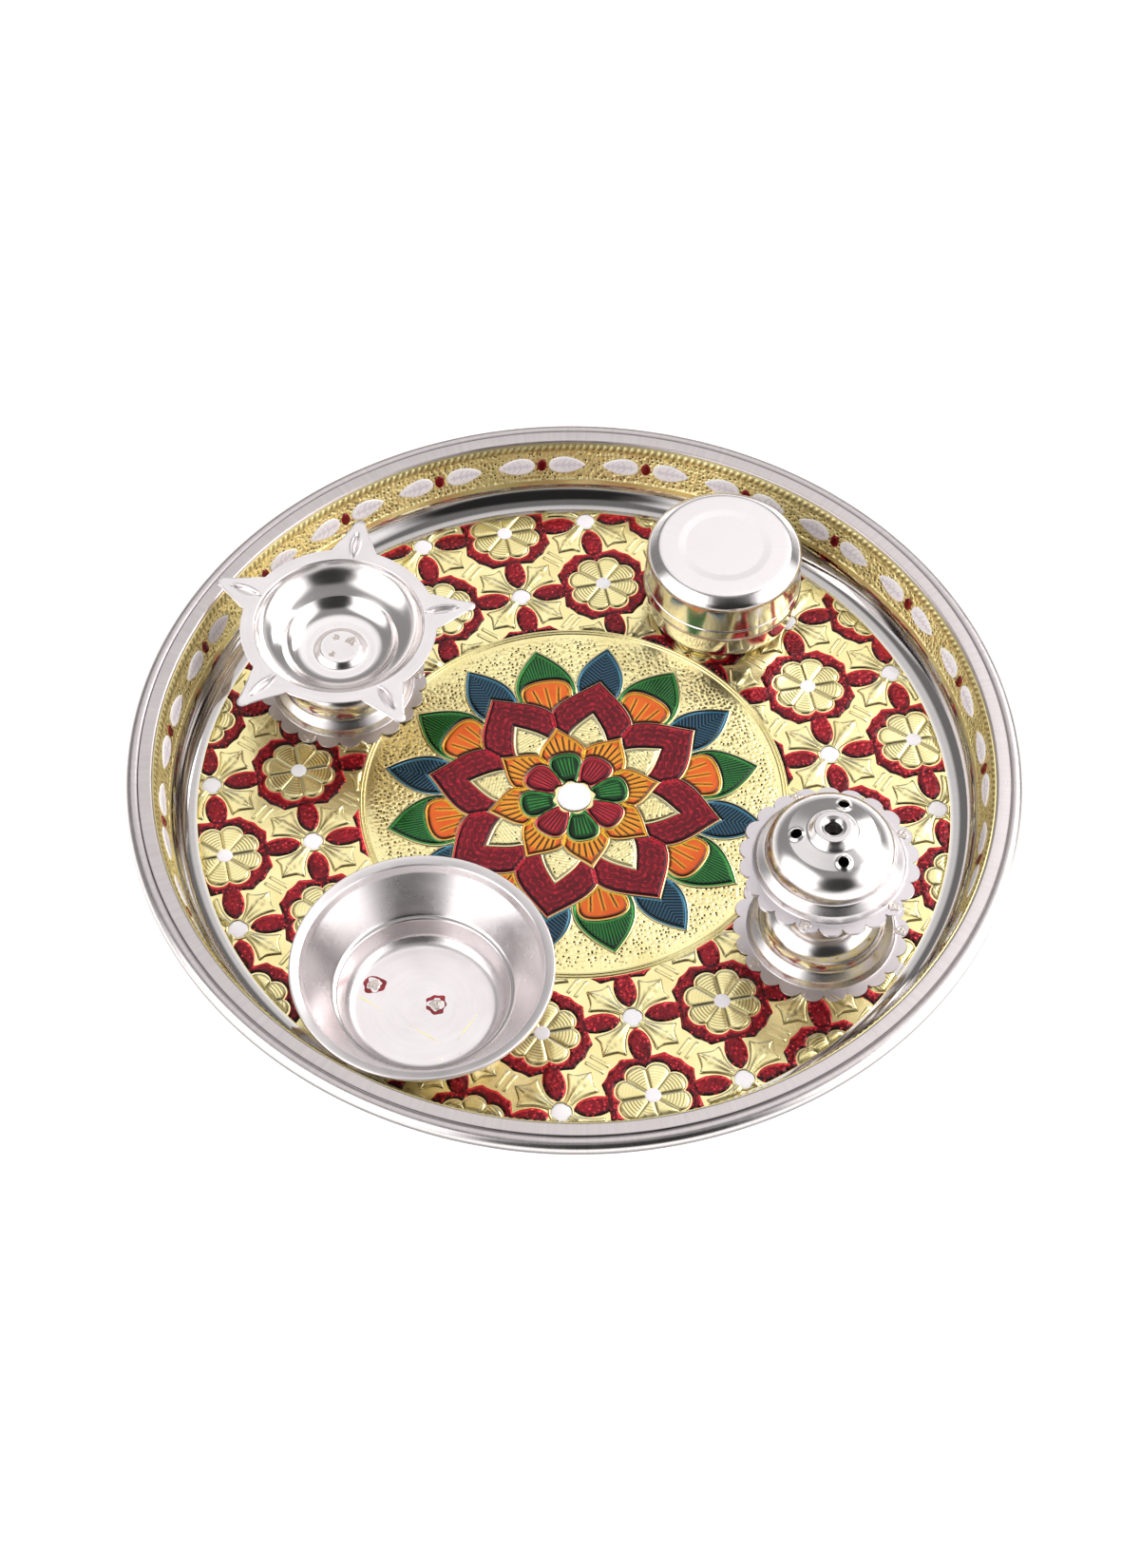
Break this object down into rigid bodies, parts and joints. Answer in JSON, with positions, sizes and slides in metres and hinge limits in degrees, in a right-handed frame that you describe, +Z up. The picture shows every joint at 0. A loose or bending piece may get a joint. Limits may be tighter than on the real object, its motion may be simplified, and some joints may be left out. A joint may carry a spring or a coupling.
{
  "type": "puja thali",
  "caption": "Round worship tray with a floral gilt floor, carrying a bowl, a lidded box, a wick lamp on a foot and an incense stand.",
  "frame": {"origin": "centre of the tray's underside, on the surface it stands on", "axes": "+Z up along the tray's axis, +X to the right of someone standing at the bowl and incense side, +Y away from them, along the rows of the flower lattice"},
  "size_m": [0.28, 0.28, 0.0552],
  "materials": {
    "satin_steel": "satin stainless steel, brushed round the axis on the lip and frosted in the bowls",
    "polished_steel": "polished stainless steel with frosted flats",
    "gilt_foil": "embossed pale gold foil with dark stipple pits",
    "white_lacquer": "glossy white lacquer",
    "green_lacquer": "glossy translucent green lacquer",
    "red_lacquer": "glossy translucent red lacquer",
    "orange_lacquer": "glossy translucent orange lacquer",
    "maroon_lacquer": "glossy translucent maroon lacquer",
    "blue_lacquer": "glossy translucent blue lacquer",
    "weld_steel": "dull heat-tinted weld steel"
  },
  "bodies": {
    "tray": {"blue_leaves": "blue_lacquer", "border_leaves": "white_lacquer", "border_ovals": "maroon_lacquer", "box_body": "polished_steel", "box_welds": "weld_steel", "floor_foil": "gilt_foil", "green_leaves": "green_lacquer", "incense_cap": "polished_steel", "incense_cap_welds": "weld_steel", "incense_dish": "polished_steel", "incense_foot": "polished_steel", "incense_foot_welds": "weld_steel", "inner_petals_green": "green_lacquer", "inner_petals_red": "red_lacquer", "katori": "satin_steel", "katori_welds": "weld_steel", "lamp_bowl": "satin_steel", "lamp_bowl_welds": "weld_steel", "lamp_foot": "polished_steel", "lamp_foot_welds": "weld_steel", "lattice_dots": "white_lacquer", "lattice_red": "red_lacquer", "maroon_petals": "maroon_lacquer", "medallion_centre": "white_lacquer", "orange_fans": "orange_lacquer", "orange_petals": "orange_lacquer", "thali_plate": "satin_steel", "wall_foil": "gilt_foil"},
    "lid": {"box_lid": "polished_steel"}
  },
  "joints": [
    {"name": "lid_lift", "type": "slide", "parent": "tray", "child": "lid", "axis": [0, 0, 1], "range_m": [0, 0.04]}
  ]
}
